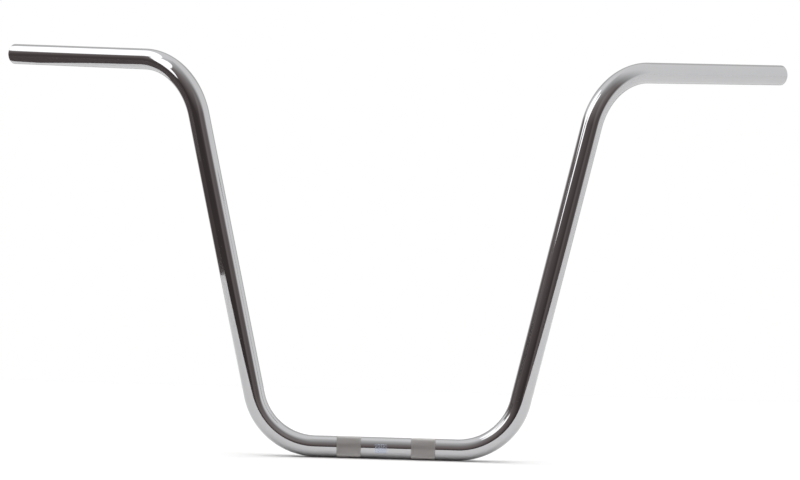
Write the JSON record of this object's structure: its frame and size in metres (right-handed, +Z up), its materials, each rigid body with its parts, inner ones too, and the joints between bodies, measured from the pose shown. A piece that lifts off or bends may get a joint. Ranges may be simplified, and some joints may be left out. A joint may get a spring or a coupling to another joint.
{
  "type": "handlebar",
  "caption": "Tall, wide motorcycle handlebar: a bent chrome tube with knurled bands for the risers, upright splayed legs and nearly level grips that sweep back.",
  "frame": {"origin": "on the tube's axis, at the middle of the straight length that the risers clamp", "axes": "+X across the motorcycle to the rider's left, +Y back towards the rider, +Z up the legs"},
  "size_m": [0.987, 0.1756, 0.4977],
  "materials": {
    "chrome": "polished chrome plate on steel, matte where it is knurled",
    "foil": "blank silver-blue foil label"
  },
  "bodies": {
    "root": {"handlebar_tube": "chrome", "approval_label": "foil"}
  },
  "joints": []
}
